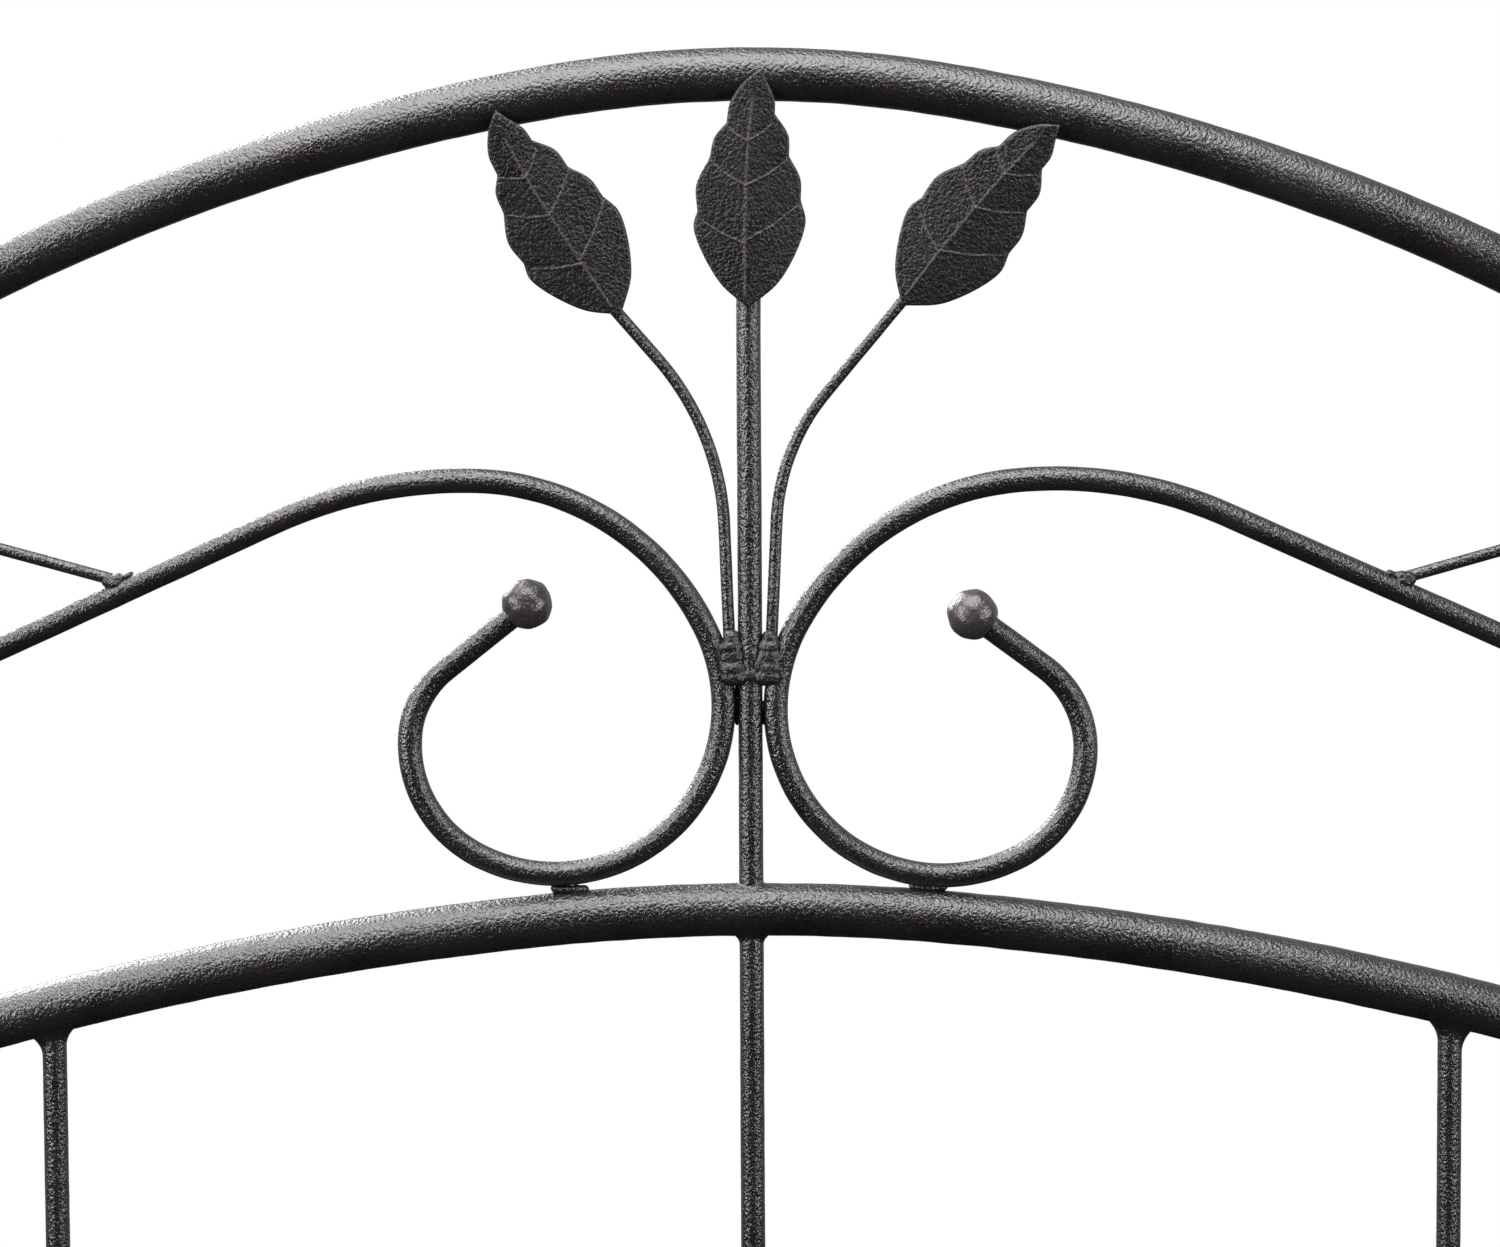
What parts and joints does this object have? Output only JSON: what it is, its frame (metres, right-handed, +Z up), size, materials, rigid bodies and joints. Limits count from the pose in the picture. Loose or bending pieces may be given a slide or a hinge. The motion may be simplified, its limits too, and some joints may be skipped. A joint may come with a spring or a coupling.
{
  "type": "arched garden trellis",
  "caption": "Flat arched metal trellis: outer and inner arch tubes, scrolls ending in balls, pressed leaves on thin stems, upright rods, plug-together halves and ground spikes.",
  "frame": {"origin": "on the ground line, midway between the two legs, in the panel's middle plane", "axes": "+Z up, +X to the right of a viewer in front, front faces -Y (the leaves are on that side)"},
  "size_m": [0.7076, 0.0202, 2.029],
  "materials": {
    "frame_tube": "dark brown-black hammered powder coat, satin, fine pebble of about 1.5 mm",
    "rods": "dark brown-black hammered powder coat, satin, fine pebble of about 1.5 mm",
    "leaf_sheet": "dark brown powder coat over pressed sheet, pebbled, duller than the tubes",
    "scroll_ball": "dark powder coat, thinner and glossier over the ball",
    "weld_beads": "powder coat over rough weld metal",
    "joint_spigot": "zinc-plated steel sleeve, satin",
    "joint_fixings": "dark zinc-plated screw and cap nut, satin"
  },
  "bodies": {
    "root": {"arch_frame_tube": "frame_tube", "arch_weld_beads": "weld_beads", "branch_weld_beads": "weld_beads", "centre_leaf": "leaf_sheet", "centre_lower_rod": "rods", "centre_stem": "rods", "centre_upper_rod": "rods", "joint_nuts": "joint_fixings", "joint_screws": "joint_fixings", "left_branch_leaf": "leaf_sheet", "left_branch_stem": "rods", "left_ground_spike": "frame_tube", "left_joint_spigot": "joint_spigot", "left_leaf": "leaf_sheet", "left_leaf_stem": "rods", "left_lower_leg": "frame_tube", "left_lower_rod": "rods", "left_scroll": "rods", "left_scroll_ball": "scroll_ball", "left_upper_rod": "rods", "lower_cross_rods": "rods", "lower_panel_bottom_rail": "frame_tube", "lower_panel_top_rail": "frame_tube", "rail_weld_beads": "weld_beads", "right_branch_leaf": "leaf_sheet", "right_branch_stem": "rods", "right_ground_spike": "frame_tube", "right_joint_spigot": "joint_spigot", "right_leaf": "leaf_sheet", "right_leaf_stem": "rods", "right_lower_leg": "frame_tube", "right_lower_rod": "rods", "right_scroll": "rods", "right_scroll_ball": "scroll_ball", "right_upper_rod": "rods", "scroll_foot_weld_beads": "weld_beads", "scroll_weld_beads": "weld_beads", "second_arch_tube": "frame_tube", "upper_cross_rods": "rods", "upper_panel_rail": "frame_tube"}
  },
  "joints": []
}
